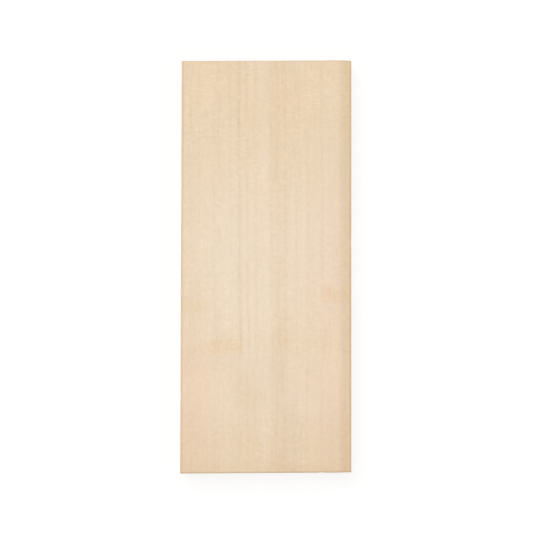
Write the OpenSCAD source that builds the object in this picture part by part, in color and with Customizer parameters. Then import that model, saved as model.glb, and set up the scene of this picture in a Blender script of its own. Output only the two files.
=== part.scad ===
// Planed cedar board: one sawn piece of softwood, lying on its underside with its long right
// edge softened. X runs across the board to that edge, Y runs along the grain to the far end
// and Z runs up through the thickness. The origin is the centre of the underside.
// Lengths are in millimetres and angles in degrees.

/* [Board] */
// Length along the grain, from the near left corner to the far right corner
board_length = 305; // [150:1:1200]
// Width across the grain at the near end
board_width = 126.5; // [60:0.5:300]
// Thickness between the two planed faces
board_thickness = 19; // [12:0.5:45]

/* [Saw cuts] */
// How far the left edge has come in by the time it reaches the far end
left_taper = 1.2; // [0:0.1:4]
// How far the near end is out of square, taken off the right corner
near_skew = 0.8; // [0:0.1:4]
// How far the far end is out of square, taken off the left corner
far_skew = 0.5; // [0:0.1:4]

/* [Edges] */
// Radius of the arrises around both faces
arris_radius = 0.8; // [0.3:0.1:2]
// Radius of the four upright corners
corner_radius = 0.6; // [0.3:0.1:3]
// Width of the softened band along the right edge of the top face
soft_band = 10.5; // [5:0.5:20]
// Slope that the softened band has reached where it meets the right side
soft_slope = 15; // [8:1:30]

/* [Hidden] */
$fn = 64;
bare_cedar = [0.92, 0.84, 0.73];

// How far a cutter reaches past the wood that it takes away
clear = 2;
// Slope that the softened band starts at, so that it leaves the top face along a clean line
soft_start = 3;
// Angle at which a small round meets its two surfaces, as on an arris eased by hand
easing_angle = 10;
// Depth of a small round's centre below both surfaces, for each millimetre of its radius
inset = cos(easing_angle);

// The softened band's arc, seen along the grain: x goes into the wood from the right side and
// y goes down into it from the top face
soft_radius = soft_band / (sin(soft_slope) - sin(soft_start));
soft_drop = soft_radius * (cos(soft_start) - cos(soft_slope));
soft_centre = [soft_band, 0] + soft_radius * [sin(soft_start), cos(soft_start)];
// Centre of the arris between that arc and the right side, at the same depth below each
foot_x = inset * arris_radius;
foot_slope = asin((soft_centre.x - foot_x) / (soft_radius - foot_x));
foot_centre = [foot_x, soft_centre.y - (soft_radius - foot_x) * cos(foot_slope)];

// The board's outline from above, anticlockwise from the near left corner
outline = [
    [-board_width / 2, -board_length / 2],
    [board_width / 2, -board_length / 2 + near_skew],
    [board_width / 2, board_length / 2],
    [-board_width / 2 + left_taper, board_length / 2 - far_skew]
];
// The side of the outline that has the softened band. Side i runs from corner i to the next.
soft_side = 1;

function corner(i) = outline[(i + len(outline)) % len(outline)];
function side(i) = corner(i + 1) - corner(i);
function heading(i) = atan2(side(i).y, side(i).x);
// Angle of the wood at corner i
function opening(i) = (heading(i - 1) + 180 - heading(i) + 360) % 360;
function polar(distance, angle) = distance * [cos(angle), sin(angle)];

// The waste outside a round, in section. The round is centred at the origin, and the surfaces
// that it joins face along the angles "from" and "to".
module round_waste(radius, from, to) {
    reach = radius + clear;
    half = (to - from) / 2;
    tip = polar(reach / cos(half), from + half);
    difference() {
        polygon([[0, 0], polar(reach, from), tip, polar(reach, to)]);
        circle(radius);
    }
}

// The waste at a square arris, in section. The wood is where x and y are both positive.
module arris_waste() {
    translate([inset, inset] * arris_radius) round_waste(arris_radius, 180, 270);
}

// The waste above the softened band and outside the arris at its foot, in section
module soft_waste() {
    difference() {
        translate([-clear, -clear]) square([soft_centre.x + clear, soft_drop + 2 * clear]);
        translate(soft_centre) circle(soft_radius);
    }
    translate(foot_centre) round_waste(arris_radius, 180, 270 - foot_slope);
}

// The waste along the top of side i, in section
module top_waste(i) {
    if (i == soft_side) soft_waste();
    else arris_waste();
}

// Carries a section along side i of the outline, with its x into the wood and its y upwards
module along_side(i) {
    translate([corner(i).x, corner(i).y, 0])
        rotate([90, 0, heading(i) + 90])
            translate([0, 0, -clear])
                linear_extrude(norm(side(i)) + 2 * clear) children();
}

// Turns a cutter for the underside over onto the top face
module on_top() {
    translate([0, 0, board_thickness]) mirror([0, 0, 1]) children();
}

// The waste outside the upright round at corner i of the outline, seen from above
module corner_waste(i) {
    half = opening(i) / 2;
    translate(corner(i) + polar(inset * corner_radius / sin(half), heading(i) + half))
        round_waste(corner_radius, heading(i) + opening(i) + 90, heading(i) + 270);
}

// The board before its faces are eased
module blank() {
    linear_extrude(board_thickness)
        difference() {
            polygon(outline);
            for (i = [0 : len(outline) - 1]) corner_waste(i);
        }
}

// The blank with this many of its sides eased, one after another
module eased(sides) {
    i = sides - 1;
    if (sides == 0) blank();
    else difference() {
        eased(i);
        along_side(i) arris_waste();
        on_top() along_side(i) top_waste(i);
    }
}

module board() {
    color(bare_cedar) eased(len(outline));
}

board();
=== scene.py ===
"""A planed cedar board lying on a pale floor, with the camera straight above it.

The board is one closed mesh with its own relief: hand-eased arrises, a softened right edge, grain
that stands a little proud and sawn ends. Its wood is solid: growth rings run through it round a
distant pith, so the lines on its faces, sides and ends belong together. Lengths are in millimetres
unless a name or comment says otherwise, and become metres as the mesh is made. X runs across the
grain, Y along it from the near end to the far end, and Z up.
"""

import math
from types import SimpleNamespace

import bpy
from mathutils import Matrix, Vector, noise


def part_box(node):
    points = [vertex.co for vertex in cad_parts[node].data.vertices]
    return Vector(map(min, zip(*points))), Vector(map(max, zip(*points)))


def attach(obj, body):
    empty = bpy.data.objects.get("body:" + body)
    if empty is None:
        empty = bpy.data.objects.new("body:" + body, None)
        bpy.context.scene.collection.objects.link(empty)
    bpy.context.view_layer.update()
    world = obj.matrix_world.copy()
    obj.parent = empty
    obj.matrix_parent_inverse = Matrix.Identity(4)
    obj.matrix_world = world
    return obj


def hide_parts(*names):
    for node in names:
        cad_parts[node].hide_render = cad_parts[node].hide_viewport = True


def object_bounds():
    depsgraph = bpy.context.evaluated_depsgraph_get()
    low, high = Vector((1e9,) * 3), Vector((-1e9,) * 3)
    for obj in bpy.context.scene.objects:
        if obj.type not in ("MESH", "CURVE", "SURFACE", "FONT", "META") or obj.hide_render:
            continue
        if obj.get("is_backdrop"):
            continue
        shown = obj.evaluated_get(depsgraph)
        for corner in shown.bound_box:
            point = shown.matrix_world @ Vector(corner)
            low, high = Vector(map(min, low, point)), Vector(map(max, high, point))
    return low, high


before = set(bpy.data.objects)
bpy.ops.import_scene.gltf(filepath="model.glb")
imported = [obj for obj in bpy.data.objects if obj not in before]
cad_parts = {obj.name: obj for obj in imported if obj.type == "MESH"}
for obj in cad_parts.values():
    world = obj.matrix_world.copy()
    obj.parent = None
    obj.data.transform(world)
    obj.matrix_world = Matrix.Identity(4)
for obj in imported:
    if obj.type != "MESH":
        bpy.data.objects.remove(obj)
CAD_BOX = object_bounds()  # in metres

MM = 0.001

# The board's size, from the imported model.
LOW, HIGH = (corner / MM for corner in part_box("board"))
WIDTH = HIGH.x - LOW.x
LENGTH = HIGH.y - LOW.y
THICK = HIGH.z - LOW.z

# How far the left edge, the near end and the far end run out of square.
LEFT_TAPER = 1.2
NEAR_SKEW = 0.8
FAR_SKEW = 0.5

# Radius of the arrises, of the corners, and of the far right corner, which is worn.
ARRIS = 0.8
CORNER = 0.6
WORN_CORNER = 1.1

# The softened right edge: its width, and its slope at the top face and at the right side.
SOFT_BAND = 10.5
SOFT_START = math.radians(3)
SOFT_SLOPE = math.radians(15)

# Small dents along the arrises: (x, y, z, reach, depth).
DENTS = (
    (-63, -96, 19, 4.5, 0.35),
    (-62.5, 61, 19, 3.5, 0.25),
    (63, 18, 17.5, 5.5, 0.35),
    (41, -152, 19, 3.2, 0.3),
    (-22, 152, 0, 4.0, 0.4),
    (63, -118, 0, 4.5, 0.4),
)

# How deep the relief of the planed and sawn faces goes: the least that it takes off anywhere, how
# far soft wood lies below late growth, and the marks of the tools.
PLANED_LEAST = 0.01
PLANED_GRAIN = 0.03
PLANER_WAVES = 0.05
SAWN_LEAST = 0.02
SAWN_GRAIN = 0.03
SAW_MARKS = 0.045
TORN_FIBRES = 0.05

# A circular saw leaves arcs on the ends: their spacing, and their centre from the board's middle.
SAW_PITCH = 2.3
SAW_X = 60
SAW_Z = -105
PLANER_PITCH = 2.2

# The mesh: its spacing across, along and through the board, and closer over the arrises, where the
# lines lie at these distances from an edge.
SPACING = (0.64, 2.1, 0.7)
OVER_ARRIS = (0, 0.12, 0.27, 0.45, 0.65, 0.85, 1.15, 1.6, 2.3)

# By the axis that a face looks along (0 for X, 1 for Y, 2 for Z), the two axes that its quads and
# its rectangle on the flat map run along.
RUNS = {0: (2, 1), 1: (0, 2), 2: (0, 1)}

# The flat map for textures: the gap between its rectangles, and its size each way.
MAP_GAP = 2.0
MAP_SIZE = LENGTH + THICK + 3 * MAP_GAP

# Growth rings: where the pith lies. A ring is known by how much further from the pith it is than
# the one through the middle of the top face.
PITH_X = -420.0
PITH_Z = -70.0
MIDDLE_RING = math.hypot(PITH_X, THICK - PITH_Z)

# Growth lines where they meet the top face: (x, width of the dark side, strength, at the far end).
GROWTH_LINES = (
    (-71.0, 2.6, 0.50, 0.50),
    (-66.0, 2.0, 0.60, 0.60),
    (-60.5, 2.4, 0.25, 0.25),
    (-55.0, 2.2, 0.20, 0.36),
    (-49.2, 1.8, 0.20, 0.25),
    (-43.6, 2.0, 0.10, 0.10),
    (-38.0, 2.2, 0.35, 0.45),
    (-35.3, 1.4, 0.22, 0.55),
    (-31.0, 1.8, 0.12, 0.12),
    (-26.3, 2.0, 0.15, 0.18),
    (-19.6, 1.9, 0.56, 1.05),
    (-14.0, 1.8, 0.55, 0.65),
    (-7.8, 1.8, 0.50, 0.45),
    (-2.8, 1.4, 0.10, 0.10),
    (4.2, 2.2, 0.50, 0.45),
    (9.0, 2.6, 0.65, 0.50),
    (14.4, 2.4, 0.48, 0.32),
    (22.0, 2.2, 0.45, 0.34),
    (30.8, 2.0, 0.42, 0.36),
    (35.9, 1.8, 0.12, 0.20),
    (41.5, 2.0, 0.50, 0.65),
    (46.6, 1.4, 0.15, 0.15),
    (50.2, 1.8, 0.20, 0.20),
    (55.8, 2.2, 0.25, 0.25),
    (60.6, 2.0, 0.35, 0.35),
    (66.5, 2.6, 0.50, 0.50),
)
LINE_EDGE = 2.0  # how soon a growth line's dark side gives way to the next pale band
NEAR_LINES = 0.55  # how much of their strength the growth lines keep at the near end
BOW = 1.4  # how far the grain swings to the right, about halfway along the near half

# Stretches of y over which the grain changes, each from where the change begins.
BOW_GROWS = (-8, -66)
BOW_ENDS = (-67, -75)
LINES_FADE = (-66, -85)
LINES_TURN_FAR = (60, 85)
FIGURE_TURNS_FAR = (30, 80)

# Colours as sRGB levels: the palest wood, wood yellowed or pinkish all through, late growth,
# stained wood, and edges darkened partly by wear and partly by painted shade.
PALE = (239.2, 219.8, 194.3)
STRAW = (231, 202.5, 163)
BLUSH = (237, 206, 183)
LATE = (194, 156, 116)
STAINED = (235, 202, 161)
HANDLED_AND_SHADED = (209, 173, 127)

# Broad darker streaks that run the whole length, or paler below zero: (x, half-width, strength).
STREAKS = (
    (-42.5, 2.5, -0.25),
    (-28.8, 3.5, -0.50),
    (-19.5, 4.0, 0.30),
    (-16.0, 2.0, -0.35),
    (-11.0, 2.0, -0.30),
    (-1.2, 6.0, -0.45),
    (10.0, 8.5, 0.95),
    (27.6, 2.4, -0.30),
    (41.0, 5.0, 0.20),
    (44.3, 2.4, -0.45),
)

# Ragged oval patches on the top face: (x, y, half-width, half-length, strength).
STAINS = (
    (-29, -59, 15, 6.5, 0.46),
    (-53, -28, 12, 6, 0.28),
    (15, -49, 7, 17, 0.30),
    (50, -20, 13, 7, 0.42),
    (41, -54, 8, 8, 0.14),
)
# More yellow, or less below zero.
YELLOW_PATCHES = (
    (14, -57, 38, 7, 0.10),
    (-14, -118, 20, 32, 0.16),
    (-12, -92, 12, 15, 0.22),
    (11, 132, 11, 34, 0.16),
    (-1, 82, 5, 30, -0.17),
    (1, -119, 7, 18, -0.15),
)
# Brighter, or duller below zero.
BRIGHT_PATCHES = (
    (-50, 136, 16, 24, 0.016),
    (38, 134, 12, 24, 0.020),
    (8, 146, 14, 14, -0.014),
    (-6, 58, 6, 26, 0.028),
    (51, 76, 7, 28, -0.022),
    (50, -74, 12, 24, 0.016),
    (-46, -92, 14, 24, 0.030),
    (0, -85, 36, 34, -0.024),
    (18, -136, 8, 34, -0.042),
    (46, -125, 7, 32, -0.020),
)

# Changes along the board: (y where it begins, y where it is complete, strength).
YELLOW_ENDS = (
    (16, 130, 0.38),
    (-5, -60, 0.06),
    (-95, -135, 0.27),
    (-138, -152, 0.15),
)
DULL_END = (
    (-85, -140, -0.021),
    (-136, -152, -0.024),
)

# Thin darker lines round the top face, partly wear and partly painted shade of the arrises, with
# their
# distances from the edge: (edge, where it begins, where it is complete, strength).
EDGE_LINES = (
    ("left", 2.1, 1.3, 0.36),
    ("right", 2.0, 1.2, 0.24),
    ("near", 1.7, 1.0, 0.50),
    ("far", 1.4, 0.7, 0.12),
)

# How squarely a surface faces a way, from where it starts to count to where it counts in full.
FACES_SQUARELY = (0.55, 0.8)

# The floor's grey for the light that it throws on the board. To the camera it is darker, so that
# the shadow is faint, and a glow makes it up to white.
FLOOR_GREY = 0.8
SEEN_GREY = 0.22
SEEN_GLOW = 0.80
FLOOR_REACH_M = 20.0

# The sky's light, and the lamps: (name, the way to the lamp, strength, its breadth in degrees).
SKY = 0.55
LAMPS = (
    ("key", (-0.32, 0.55, 0.95), 1.36, 45),
    ("fill", (0.6, -0.7, 0.8), 0.30, 60),
)

# The camera: what it looks straight down on, and how much it sees across at the top face.
AIM_X = 0.50
AIM_Y = 0.35
SEEN_WIDTH = 393.0
LENS = 100
SENSOR = 36


# ---------------------------------------------------------------- geometry


def clamp(value, low=0.0, high=1.0):
    return max(low, min(high, value))


def smooth(low, high, value):
    """0 up to low, 1 from high on, and an S-curve between. low may be the larger of the two."""
    t = clamp((value - low) / (high - low))
    return t * t * (3 - 2 * t)


def wander(x, y, z, seed):
    """Smooth noise of about -1 to 1."""
    return noise.noise(Vector((x + seed * 17.3, y - seed * 9.1, z + seed * 4.7)))


def top_ring(x):
    """The ring that meets the top face at x."""
    return math.hypot(x - PITH_X, THICK - PITH_Z) - MIDDLE_RING


LINE_RINGS = [(top_ring(x), *line) for x, *line in GROWTH_LINES]


def late_growth(x, y, z):
    """How dark and hard the wood is at a place, from 0 to about 1."""
    drift = 0.5 * wander(x / 90, y / 130, z / 60, 1) + 0.2 * wander(x / 25, y / 55, z / 30, 2)
    bow = BOW * smooth(*BOW_GROWS, y) * (1 - smooth(*BOW_ENDS, y))
    ring = math.hypot(x - PITH_X, z - PITH_Z) - MIDDLE_RING + drift - bow
    total = 0.0
    for place, width, strength, far_strength in LINE_RINGS:
        if place - width < ring < place + LINE_EDGE:
            rise = smooth(place - width, place, ring)
            fall = smooth(place + LINE_EDGE, place, ring)
            here = strength + (far_strength - strength) * smooth(*LINES_TURN_FAR, y)
            total += here * rise * fall
    return total * (1 - (1 - NEAR_LINES) * smooth(*LINES_FADE, y))


def soft_fall(x):
    """How far the softened right edge has fallen below the top face."""
    inward = WIDTH / 2 - x
    if inward >= SOFT_BAND:
        return 0.0
    radius = SOFT_BAND / (math.sin(SOFT_SLOPE) - math.sin(SOFT_START))
    across = SOFT_BAND + radius * math.sin(SOFT_START) - inward
    return radius * math.cos(SOFT_START) - math.sqrt(radius**2 - across**2)


def easing_radius(p):
    """Radius of the arris near a place. It wanders along the length and changes at the corners."""
    radius = ARRIS * (1 + 0.3 * wander(p.x / 14, p.y / 14, p.z / 6, 3))
    to_corner = math.hypot(WIDTH / 2 - abs(p.x), LENGTH / 2 - abs(p.y))
    corner = WORN_CORNER if p.x > 0 and p.y > 0 else CORNER
    return radius + (corner - radius) * smooth(6, 0, to_corner)


def saw_mark(p):
    """How deep a place lies in the arcs that a circular saw leaves on the ends, from 0 to 1."""
    arc = math.hypot(p.x - SAW_X, p.z - SAW_Z + 0.4 * wander(p.x / 20, 0, p.z / 9, 4))
    shake = 2 * wander(p.x / 30, 0, p.z / 5, 5)
    return 0.5 + 0.5 * math.sin(2 * math.pi * arc / SAW_PITCH + shake)


def relief(p, on_end):
    """Depth of the surface below a perfectly flat face, at a point on the block of shaped()."""
    soft = 1 - min(1.0, late_growth(p.x, p.y, p.z + THICK / 2))
    if on_end:
        tear = max(0.0, wander(p.x / 1.1, p.y, p.z / 1.4, 6)) * soft
        return SAWN_LEAST + SAW_MARKS * saw_mark(p) + TORN_FIBRES * tear + SAWN_GRAIN * soft
    waves = 0.5 + 0.5 * wander(p.x / 28, p.y / 70, p.z / 28, 7)
    return PLANED_LEAST + PLANED_GRAIN * soft + PLANER_WAVES * waves


def dented(q):
    """Presses the small dents into the arrises, away from each face that is near."""
    depth = 0.0
    for x, y, z, reach, deep in DENTS:
        away = (Vector((x, y, z - THICK / 2)) - q).length / reach
        if away < 1:
            depth += deep * (1 - away * away) ** 2
    near = (abs(q.x) > WIDTH / 2 - 2, abs(q.y) > LENGTH / 2 - 2, abs(q.z) > THICK / 2 - 4)
    inward = Vector([-math.copysign(is_near, place) for is_near, place in zip(near, q)])
    return q + depth * 0.6 * inward


def shaped(p, on_end):
    """Takes a point on a square-edged block to the board's real surface.

    The block has its centre at the origin, and the board has its underside there.
    """
    radius = easing_radius(p)
    half = Vector((WIDTH / 2, LENGTH / 2, THICK / 2))
    inner = Vector([clamp(p[i], radius - half[i], half[i] - radius) for i in range(3)])
    outward = (p - inner).normalized()
    q = dented(inner + outward * (radius - relief(p, on_end)))
    # The softened edge lowers the top, and carries less of its fall towards the underside.
    q.z -= soft_fall(q.x) * (q.z + half.z) / THICK
    across, along = q.x / WIDTH + 0.5, q.y / LENGTH + 0.5
    x = q.x + LEFT_TAPER * along * (1 - across)
    y = q.y + NEAR_SKEW * across * (1 - along) - FAR_SKEW * (1 - across) * along
    return Vector((x, y, q.z + half.z))


def stations(length, step):
    """Where the mesh lines cross one side of the block, from one edge to the other."""
    half = length / 2
    inset = OVER_ARRIS[-1]
    count = round((length - 2 * inset) / step)
    even = [inset + (length - 2 * inset) * i / count for i in range(1, count)]
    return [p - half for p in (*OVER_ARRIS, *even)] + [half - p for p in reversed(OVER_ARRIS)]


def map_starts():
    """Where each face's rectangle starts on the flat map: top, underside, left, right, near, far.

    A face is known by the axis that it looks along and whether it is on the high side.
    """
    top = MAP_GAP
    under = top + WIDTH + MAP_GAP
    left = under + WIDTH + MAP_GAP
    right = left + THICK + MAP_GAP
    ends = 2 * MAP_GAP + LENGTH
    return {
        (2, True): (top, MAP_GAP),
        (2, False): (under, MAP_GAP),
        (0, False): (left, MAP_GAP),
        (0, True): (right, MAP_GAP),
        (1, False): (top, ends),
        (1, True): (under, ends),
    }


def face_quads(axis, high, last):
    """The quads of one face, each as the four places on the grid that it joins."""
    u, v = RUNS[axis]
    for i in range(last[u]):
        for j in range(last[v]):
            corners = []
            for di, dj in ((0, 0), (1, 0), (1, 1), (0, 1)):
                place = [0, 0, 0]
                place[axis] = last[axis] if high else 0
                place[u] = i + di
                place[v] = j + dj
                corners.append(tuple(place))
            # As they stand, the corners face up, or towards the low side along the other axes.
            if high != (axis == 2):
                corners.reverse()
            yield corners


def board_mesh(name):
    """One closed grid over all six faces, with a flat map of each face for textures."""
    grid = [stations(size, step) for size, step in zip((WIDTH, LENGTH, THICK), SPACING)]
    last = [len(lines) - 1 for lines in grid]
    verts, index, faces, map_points = [], {}, [], []
    for (axis, high), start in map_starts().items():
        runs = RUNS[axis]
        for corners in face_quads(axis, high, last):
            for place in corners:
                if place not in index:
                    index[place] = len(verts)
                    p = Vector([grid[i][place[i]] for i in range(3)])
                    verts.append(shaped(p, place[1] in (0, last[1])) * MM)
                for i, begin in zip(runs, start):
                    map_points.append((grid[i][place[i]] - grid[i][0] + begin) / MAP_SIZE)
            faces.append([index[place] for place in corners])
    mesh = bpy.data.meshes.new(name)
    mesh.from_pydata(verts, [], faces)
    mesh.uv_layers.new(name="OFBake").uv.foreach_set("vector", map_points)
    mesh.polygons.foreach_set("use_smooth", [True] * len(mesh.polygons))
    mesh.update()
    return mesh


# ---------------------------------------------------------------- materials


def linear(srgb):
    """Linear colour of sRGB levels from 0 to 255."""
    return [
        c / 12.92 if c <= 0.04045 else ((c + 0.055) / 1.055) ** 2.4
        for c in (level / 255 for level in srgb)
    ] + [1.0]


class Nodes:
    """Adds nodes to one material or world. Apart from add and put, each method gives a socket."""

    def __init__(self, owner):
        owner.use_nodes = True
        self.tree = owner.node_tree
        self.tree.nodes.clear()

    def add(self, kind, *inputs, **settings):
        """The new node itself, with its first inputs and its settings."""
        node = self.tree.nodes.new(kind)
        for name, value in settings.items():
            setattr(node, name, value)
        for socket, value in zip(node.inputs, inputs):
            self.put(socket, value)
        return node

    def put(self, socket, value):
        """Links another node's output to a socket, or sets it to a constant."""
        if isinstance(value, bpy.types.NodeSocket):
            self.tree.links.new(value, socket)
        elif value is not None:
            socket.default_value = value

    def math(self, operation, a, b=None):
        return self.add("ShaderNodeMath", a, b, operation=operation).outputs[0]

    def sum(self, *terms):
        total = terms[0]
        for term in terms[1:]:
            total = self.math("ADD", total, term)
        return total

    def times(self, *factors):
        total = factors[0]
        for factor in factors[1:]:
            total = self.math("MULTIPLY", total, factor)
        return total

    def ramp(self, value, low, high, out_low=0.0, out_high=1.0):
        """Carries a value from one range to another along an S-curve, held at both ends."""
        node = self.add("ShaderNodeMapRange", value, low, high, out_low, out_high)
        node.interpolation_type = "SMOOTHSTEP"
        return node.outputs[0]

    def mix(self, amount, base, other):
        """A colour between two others. The colour sockets come after the plain and vector ones."""
        node = self.add("ShaderNodeMix", data_type="RGBA")
        for i, value in ((0, amount), (6, base), (7, other)):
            self.put(node.inputs[i], value)
        return node.outputs[2]

    def scaled(self, vector, factor):
        node = self.add("ShaderNodeVectorMath", vector, operation="SCALE")
        self.put(node.inputs["Scale"], factor)
        return node.outputs[0]

    def point(self, x, y, z):
        return self.add("ShaderNodeCombineXYZ", x, y, z).outputs[0]

    def noise(self, place, sizes, detail=0.0, roughness=0.5):
        """Noise of 0 to 1 whose features are about as long as sizes, in millimetres."""
        point = self.point(*(self.times(v, 1 / size) for v, size in zip(place, sizes)))
        node = self.add("ShaderNodeTexNoise", noise_dimensions="3D")
        inputs = {"Vector": point, "Scale": 1.0, "Detail": detail, "Roughness": roughness}
        for name, value in inputs.items():
            self.put(node.inputs[name], value)
        return node.outputs["Fac"]

    def sway(self, value, amount):
        """Noise of 0 to 1 as a push of up to amount either way."""
        return self.times(self.math("SUBTRACT", value, 0.5), 2 * amount)


def find_places(n):
    """Where in the board a point is, in millimetres, and which way the surface faces there."""
    coords = n.add("ShaderNodeTexCoord").outputs
    x, y, z = n.add("ShaderNodeSeparateXYZ", n.scaled(coords["Object"], 1 / MM)).outputs
    facing = n.add("ShaderNodeSeparateXYZ", coords["Normal"]).outputs
    sides, ends, faces = (n.math("ABSOLUTE", f) for f in facing)
    squarest = n.math("MAXIMUM", n.math("MAXIMUM", sides, ends), faces)
    from_edge = {
        "left": n.sum(x, n.times(y, -LEFT_TAPER / LENGTH), (WIDTH - LEFT_TAPER) / 2),
        "right": n.math("SUBTRACT", WIDTH / 2, x),
        "near": n.sum(y, n.times(x, -NEAR_SKEW / WIDTH), (LENGTH - NEAR_SKEW) / 2),
        "far": n.sum(n.times(y, -1), n.times(x, FAR_SKEW / WIDTH), (LENGTH - FAR_SKEW) / 2),
    }
    return SimpleNamespace(
        x=x,
        y=y,
        z=z,
        spot=(x, y, z),
        from_edge=from_edge,
        end_grain=n.ramp(ends, *FACES_SQUARELY),
        side_grain=n.ramp(sides, *FACES_SQUARELY),
        planed=n.ramp(faces, *FACES_SQUARELY),
        upward=n.ramp(facing[2], 0.5, 0.8),
        arris=n.ramp(squarest, 0.955, 0.86),
        # The near and left arrises, which get extra painted shade on the edges.
        near_arris=n.ramp(facing[1], -0.2, -0.6),
        left_arris=n.ramp(facing[0], -0.2, -0.6),
    )


def add_rings(n, at):
    """Finds the ring that a point is on. The rings wander, and the bow pushes them over."""
    reach = n.point(n.math("SUBTRACT", at.x, PITH_X), n.math("SUBTRACT", at.z, PITH_Z), 0)
    distance = n.add("ShaderNodeVectorMath", reach, operation="LENGTH").outputs["Value"]
    drift = n.sum(
        n.sway(n.noise(at.spot, (90, 130, 60)), 1.0),
        n.sway(n.noise(at.spot, (25, 55, 30)), 0.4),
        n.sway(n.noise(at.spot, (5, 17, 8), 1), 0.22),
        n.times(n.ramp(at.y, *BOW_GROWS, 0, -BOW), n.ramp(at.y, *BOW_ENDS, 1, 0)),
    )
    at.ring = n.sum(distance, -MIDDLE_RING, drift)
    # Places for patterns that follow the rings. The second changes slowly through the thickness.
    at.along_ring = (at.ring, at.y, at.z)
    at.grain = (at.ring, at.y, n.sum(n.times(at.z, 0.35), 0.65 * THICK))


def add_growth_lines(n, at):
    """Late growth, in lines that fade along their length and break up into hairs and dashes."""
    on_ends = n.times(at.end_grain, 0.35)
    lines = []
    for place, width, strength, far_strength in LINE_RINGS:
        rise = n.ramp(at.ring, place - width, place)
        fall = n.ramp(at.ring, place + LINE_EDGE, place)
        here = n.ramp(at.y, *LINES_TURN_FAR, strength, far_strength)
        lines.append(n.times(rise, fall, n.sum(here, on_ends)))
    at.fading = n.ramp(n.noise(at.grain, (8, 60, 20), 1), 0.3, 0.7, 0.6, 1.2)
    dashes = n.ramp(n.noise(at.grain, (2.2, 8, 6), 2, 0.6), 0.32, 0.62, 0.4, 1.25)
    hairs = n.ramp(n.noise(at.grain, (0.42, 40, 5), 2, 0.6), 0.36, 0.64, 0.2, 1.8)
    near = n.ramp(at.y, *LINES_FADE, 1, NEAR_LINES)
    at.late = n.times(n.sum(*lines), at.fading, dashes, hairs, near)


def add_streaks(n, at):
    """The broad streaks that are placed, and fainter ones at random."""
    streaks = []
    for x, half_width, strength in STREAKS:
        away = n.math("ABSOLUTE", n.math("SUBTRACT", at.ring, top_ring(x)))
        streaks.append(n.ramp(away, half_width, 0, 0, strength))
    fainter = n.sway(n.noise(at.grain, (7, 140, 20), 2), 0.5)
    at.streak = n.sum(n.times(n.sum(*streaks), at.fading), fainter)


def add_fine_grain(n, at):
    """Fine patterns along the rings and across them, and the ragged outline that patches take."""
    at.stripes = n.noise(at.grain, (1.2, 60, 12), 3, 0.8)
    at.fibres = n.noise(at.grain, (0.5, 10, 0.6), 3, 0.75)
    at.rays = n.noise(at.along_ring, (14, 30, 0.55), 2, 0.6)
    at.pores = n.ramp(n.noise(at.spot, (0.32, 4, 0.32), 1), 0.42, 0.25)
    at.clouds = n.noise(at.spot, (34, 60, 30), 3, 0.6)
    at.mottle = n.noise(at.spot, (2.7, 3.1, 2.7), 2, 0.55)
    wandering = n.sum(at.z, n.sway(n.noise(at.spot, (20, 70, 20)), 4.0))
    at.bands = n.noise((at.x, at.y, wandering), (8, 95, 2.0), 2, 0.6)
    at.ragged = n.sum(
        n.sway(n.noise(at.spot, (7, 5, 7), 4, 0.7), 1.0),
        n.sway(n.noise(at.along_ring, (2.2, 14, 7), 2, 0.7), 1.3),
    )


def add_figure(n, at):
    """Ripples that cross the grain, and how strongly they, the mottle and the fibres show."""
    wavy = n.sum(at.y, n.times(at.x, 0.12), n.sway(n.noise(at.spot, (26, 40, 26)), 9.0))
    rippled = (at.x, wavy, at.z)
    shown = n.ramp(n.noise(at.spot, (24, 38, 24)), 0.38, 0.62, 0.35, 1)
    broad = n.sway(n.noise(rippled, (6.0, 1.8, 3), 1), 1)
    fine = n.sway(n.noise(rippled, (4.0, 1.2, 3)), 1)
    broad = n.times(broad, n.ramp(at.y, *FIGURE_TURNS_FAR, 1, 0.4))
    fine = n.times(fine, n.ramp(at.y, 20, 80, 0, 1.15))
    at.ripples = n.times(n.sum(broad, fine), shown, at.planed)
    # The wood is calmest on the near side of the stains.
    calm = n.times(n.ramp(at.y, -62, -76), n.ramp(at.y, -118, -104))
    at.figure = n.sum(n.ramp(at.y, *FIGURE_TURNS_FAR, 1, 0.9), n.times(calm, -0.28))
    at.straight = n.sum(n.ramp(at.y, *FIGURE_TURNS_FAR, 1, 0.85), n.times(calm, -0.20))


def changes(n, value, table):
    """Adds up the changes of a table: (where it begins, where it is complete, strength)."""
    return n.sum(*(n.ramp(value, begin, end, 0, strength) for begin, end, strength in table))


def patches(n, at, table):
    """Adds up the patches of a table. Their edges are ragged, and follow the grain."""
    shares = []
    for x, y, half_width, half_length, strength in table:
        dx = n.times(n.math("SUBTRACT", at.x, x), 1 / half_width)
        dy = n.times(n.math("SUBTRACT", at.y, y), 1 / half_length)
        square = n.sum(n.times(dx, dx), n.times(dy, dy), at.ragged)
        shares.append(n.ramp(square, 1.6, -0.3, 0, strength))
    return n.times(n.sum(*shares), at.upward)


def blush(n, at):
    """How pinkish the wood is: most near both long edges, and a little all over the near half."""
    left = n.times(n.ramp(at.x, -25, -60, 0, 0.40), n.ramp(at.y, 0, -70))
    right = n.times(n.ramp(at.x, 20, 50, 0, 0.32), n.ramp(at.y, 90, 50))
    near_right = n.times(n.ramp(at.from_edge["right"], 12, 5, 0, 0.40), n.ramp(at.y, -85, -115))
    return n.sum(left, right, near_right, n.ramp(at.y, -50, -85, 0, 0.10))


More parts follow.
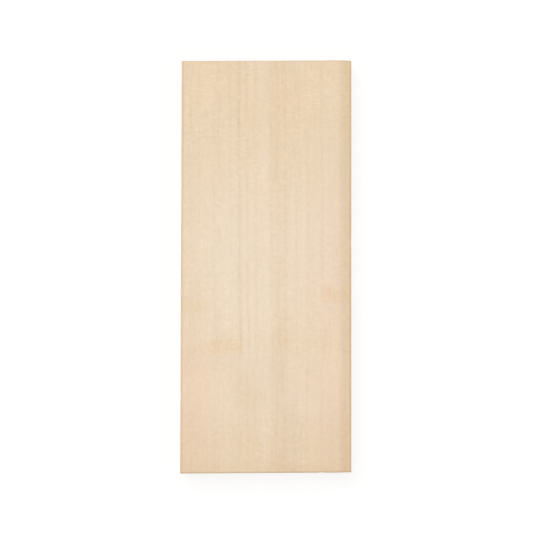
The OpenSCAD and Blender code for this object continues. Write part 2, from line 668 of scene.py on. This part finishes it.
def yellowing(n, at):
    """How far the wood has yellowed: least at mid-length, most at the ends and edges."""
    left = n.ramp(at.from_edge["left"], 32, 3, 0, 0.14)
    soft_edge = changes(n, at.from_edge["right"], ((11, 4, 0.34), (2.6, 1.6, 0.50)))
    return n.sum(
        0.07,
        changes(n, at.y, YELLOW_ENDS),
        n.times(left, n.ramp(at.y, 60, 150, 1, 0.4)),
        n.ramp(at.from_edge["right"], 55, 20, 0, 0.03),
        n.times(soft_edge, at.upward),
        patches(n, at, YELLOW_PATCHES),
        n.sway(at.clouds, 0.35),
        n.times(at.streak, 0.10),
        n.times(at.end_grain, 0.35),
    )


def darkening(n, at):
    """How much late growth shows. It shows most on the ends, and in bands on the sides."""
    return n.sum(
        n.times(at.late, n.ramp(at.end_grain, 0, 1, 0.125, 0.5)),
        n.times(at.streak, 0.05),
        n.times(n.ramp(at.stripes, 0.35, 0.75), n.ramp(at.end_grain, 0, 1, 0.05, 0.3)),
        n.times(at.end_grain, n.sway(at.rays, 0.12)),
        n.times(at.end_grain, at.pores, 0.12),
        n.times(at.side_grain, n.ramp(at.bands, 0.40, 0.66), 0.26),
    )


def handling_and_shade(n, at):
    """Wear and painted shade on the arrises, and the thin darker lines round the top face."""
    patchy = n.ramp(n.noise(at.spot, (7, 12, 7), 1), 0.3, 0.65, 0.6, 1)
    # Wear on every arris, with painted shade added on the near and left arrises.
    wear_and_shade = n.sum(0.34, n.times(at.near_arris, 0.36), n.times(at.left_arris, 0.36))
    lines = [
        n.ramp(at.from_edge[edge], begin, end, 0, strength)
        for edge, begin, end, strength in EDGE_LINES
    ]
    return n.math("MAXIMUM", n.times(at.arris, patchy, wear_and_shade), n.times(n.sum(*lines), at.upward))


def brightness(n, at):
    """A factor for the colour: fine patterns, dull and bright places, painted shade and highlight.
    """
    right = at.from_edge["right"]
    # Painted shade where the softened right edge falls away, and a painted highlight line 2 to 4
    # mm inside the edge.
    soft_edge = n.ramp(right, 11.5, 4.8, 0, -0.054)
    rim = n.times(n.ramp(right, 4.3, 2.4, 0, 0.034), n.ramp(right, 0.7, 1.7))
    far_rim = n.ramp(at.from_edge["far"], 1.5, 0.8, 0, -0.045)
    return n.sum(
        1.0,
        n.times(n.sway(at.mottle, 0.066), at.figure),
        n.times(at.ripples, at.figure, 0.062),
        n.times(n.sway(at.fibres, 0.100), at.straight),
        n.times(n.sum(soft_edge, rim, far_rim), at.upward),
        patches(n, at, BRIGHT_PATCHES),
        changes(n, at.y, DULL_END),
    )


def wood_colour(n, at):
    """Bare cedar from palest wood to late growth, its stains, and worn edges with painted shade.
    """
    colour = n.mix(blush(n, at), linear(PALE), linear(BLUSH))
    colour = n.mix(yellowing(n, at), colour, linear(STRAW))
    colour = n.mix(patches(n, at, STAINS), colour, linear(STAINED))
    colour = n.mix(darkening(n, at), colour, linear(LATE))
    # Edges darkened by wear and by painted shade.
    colour = n.mix(handling_and_shade(n, at), colour, linear(HANDLED_AND_SHADED))
    return n.scaled(colour, brightness(n, at))


def wood_roughness(n, at):
    """Late growth takes a slight polish, handled arrises more, and the sawn ends stay rough."""
    rough = n.sum(
        0.64,
        n.sway(at.clouds, 0.06),
        n.sway(at.fibres, 0.12),
        n.times(at.late, -0.08),
        n.times(at.arris, -0.10),
        n.times(at.end_grain, 0.20),
    )
    return n.math("MINIMUM", rough, 0.95)


def wood_height(n, at):
    """Fine surface, in millimetres: raised grain, the planer's faint marks, and torn end grain."""
    wavy = n.sum(at.y, n.sway(at.clouds, 3.0))
    marks = n.math("SINE", n.times(wavy, 2 * math.pi / PLANER_PITCH))
    return n.sum(
        n.times(at.fibres, 0.022),
        n.times(at.stripes, 0.012),
        n.times(at.mottle, 0.020),
        n.times(at.late, 0.012),
        n.times(at.ripples, 0.008),
        n.times(marks, 0.0012),
        n.times(at.end_grain, at.pores, -0.05),
        n.times(at.end_grain, at.rays, 0.02),
    )


def cedar(name):
    """Solid wood: its colour, roughness and bump are all functions of the place in the board."""
    material = bpy.data.materials.new(name)
    n = Nodes(material)
    at = find_places(n)
    add_rings(n, at)
    add_growth_lines(n, at)
    add_streaks(n, at)
    add_fine_grain(n, at)
    add_figure(n, at)
    bump = n.add("ShaderNodeBump")
    bump.inputs["Strength"].default_value = 1.0
    bump.inputs["Distance"].default_value = MM
    n.put(bump.inputs["Height"], wood_height(n, at))
    shader = n.add("ShaderNodeBsdfPrincipled")
    n.put(shader.inputs["Base Color"], wood_colour(n, at))
    n.put(shader.inputs["Roughness"], wood_roughness(n, at))
    n.put(shader.inputs["Normal"], bump.outputs["Normal"])
    n.put(n.add("ShaderNodeOutputMaterial").inputs["Surface"], shader.outputs["BSDF"])
    return material


# ---------------------------------------------------------------- the board


def link(obj):
    bpy.context.scene.collection.objects.link(obj)
    return obj


def make_board():
    board = link(bpy.data.objects.new("board_wood", board_mesh("board_wood")))
    board.data.materials.append(cedar("cedar_wood"))
    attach(board, "root")
    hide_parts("board")


# ---------------------------------------------------------------- studio


def grey(level):
    return (level, level, level, 1)


def white_to_the_eye(n, seen, lit):
    """A shader that is one thing to the camera and in reflections, and another to other light."""
    path = n.add("ShaderNodeLightPath").outputs
    eye = n.math("MAXIMUM", path["Is Camera Ray"], path["Is Glossy Ray"])
    eye = n.math("MAXIMUM", eye, path["Is Transmission Ray"])
    return n.add("ShaderNodeMixShader", eye, lit, seen).outputs[0]


def make_floor():
    """A broad pale floor. It looks white, and keeps the board's soft shadow."""
    material = bpy.data.materials.new("studio_floor")
    n = Nodes(material)
    paper = n.add("ShaderNodeBsdfDiffuse", grey(FLOOR_GREY)).outputs[0]
    shaded = n.add("ShaderNodeBsdfDiffuse", grey(SEEN_GREY)).outputs[0]
    glow = n.add("ShaderNodeEmission", grey(1), SEEN_GLOW).outputs[0]
    seen = n.add("ShaderNodeAddShader", shaded, glow).outputs[0]
    output = n.add("ShaderNodeOutputMaterial")
    n.put(output.inputs["Surface"], white_to_the_eye(n, seen, paper))
    reach = FLOOR_REACH_M
    corners = [(-reach, -reach, 0), (reach, -reach, 0), (reach, reach, 0), (-reach, reach, 0)]
    mesh = bpy.data.meshes.new("floor")
    mesh.from_pydata(corners, [], [(0, 1, 2, 3)])
    mesh.materials.append(material)
    link(bpy.data.objects.new("floor", mesh))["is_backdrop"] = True


def make_lamp(name, towards, strength, breadth):
    """A far-off lamp, this many degrees across, in the direction given."""
    lamp = bpy.data.lights.new(name, "SUN")
    lamp.energy = strength
    lamp.angle = math.radians(breadth)
    holder = link(bpy.data.objects.new(name, lamp))
    holder.rotation_euler = Vector(towards).to_track_quat("Z", "Y").to_euler()


def make_light():
    """Soft even light from the whole sky, and from two broad lamps."""
    world = bpy.data.worlds.new("studio")
    n = Nodes(world)
    seen = n.add("ShaderNodeBackground", grey(1), 1.0).outputs[0]
    lit = n.add("ShaderNodeBackground", grey(1), SKY).outputs[0]
    output = n.add("ShaderNodeOutputWorld")
    n.put(output.inputs["Surface"], white_to_the_eye(n, seen, lit))
    bpy.context.scene.world = world
    for lamp in LAMPS:
        make_lamp(*lamp)


def make_camera():
    """Straight down on the board, with the far end at the top."""
    camera = bpy.data.cameras.new("camera")
    camera.lens = LENS
    camera.sensor_width = SENSOR
    height = THICK + SEEN_WIDTH * LENS / SENSOR
    holder = link(bpy.data.objects.new("camera", camera))
    holder.location = Vector((AIM_X, AIM_Y, height)) * MM
    bpy.context.scene.camera = holder


make_board()
make_floor()
make_light()
make_camera()
bpy.context.scene.view_settings.view_transform = "Standard"

boxes = {"cad": CAD_BOX, "visual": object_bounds()}
{k: [list(corner) for corner in box] for k, box in boxes.items()}
